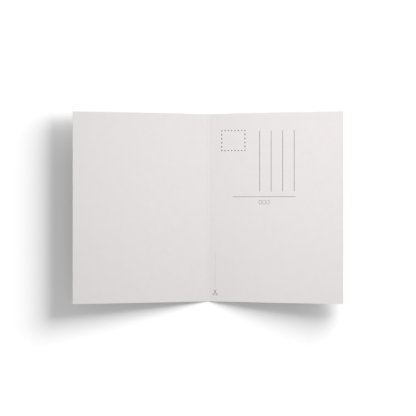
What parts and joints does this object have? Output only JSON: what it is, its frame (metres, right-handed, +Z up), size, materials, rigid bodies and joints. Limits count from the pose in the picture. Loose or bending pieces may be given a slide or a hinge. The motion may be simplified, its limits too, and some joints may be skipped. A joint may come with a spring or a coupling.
{
  "type": "greeting card",
  "caption": "Folded greeting card of plain uncoated stock, lying open with its inside up and both leaves rising gently from a scored fold, with a light ruled form on the right leaf.",
  "frame": {"origin": "on the surface that the card lies on, under the middle of the fold", "axes": "+X across the fold to the right leaf, +Y along the fold to the top edge, +Z up"},
  "size_m": [0.2078, 0.148, 0.0152],
  "materials": {
    "card_stock": "uncoated, matte",
    "printed_ink": "matte"
  },
  "bodies": {
    "root": {"folded_card": "card_stock"}
  },
  "joints": []
}
